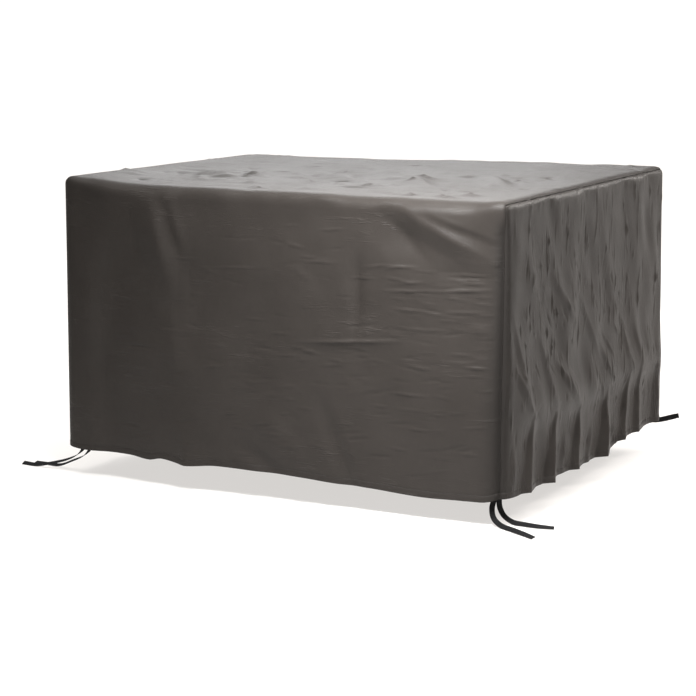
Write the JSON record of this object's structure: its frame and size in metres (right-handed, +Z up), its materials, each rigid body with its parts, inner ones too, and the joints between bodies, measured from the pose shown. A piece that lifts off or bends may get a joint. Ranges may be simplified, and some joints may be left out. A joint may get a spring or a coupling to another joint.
{
  "type": "patio furniture cover",
  "caption": "Fitted cloth cover for a rectangular garden table and its chairs: a boxy, softly folded shell, open below, with tape ties at its hem corners.",
  "frame": {"origin": "underside of the top panel at its middle, where the furniture carries the cover", "axes": "+X along the long side, the front faces -Y, +Z up"},
  "size_m": [2.0725, 1.6055, 1.0571],
  "materials": {
    "cover_cloth": "coated woven cloth, dark warm grey, semi-matt with a soft sheen at low angles",
    "tie_tape": "black woven tape, matt"
  },
  "bodies": {
    "root": {"body_panel": "cover_cloth", "end_panel_right": "cover_cloth", "end_panel_left": "cover_cloth", "tie_front_right_a": "tie_tape", "tie_front_right_b": "tie_tape", "tie_front_left_a": "tie_tape", "tie_front_left_b": "tie_tape", "tie_back_right_a": "tie_tape", "tie_back_right_b": "tie_tape", "tie_back_left_a": "tie_tape", "tie_back_left_b": "tie_tape"}
  },
  "joints": []
}
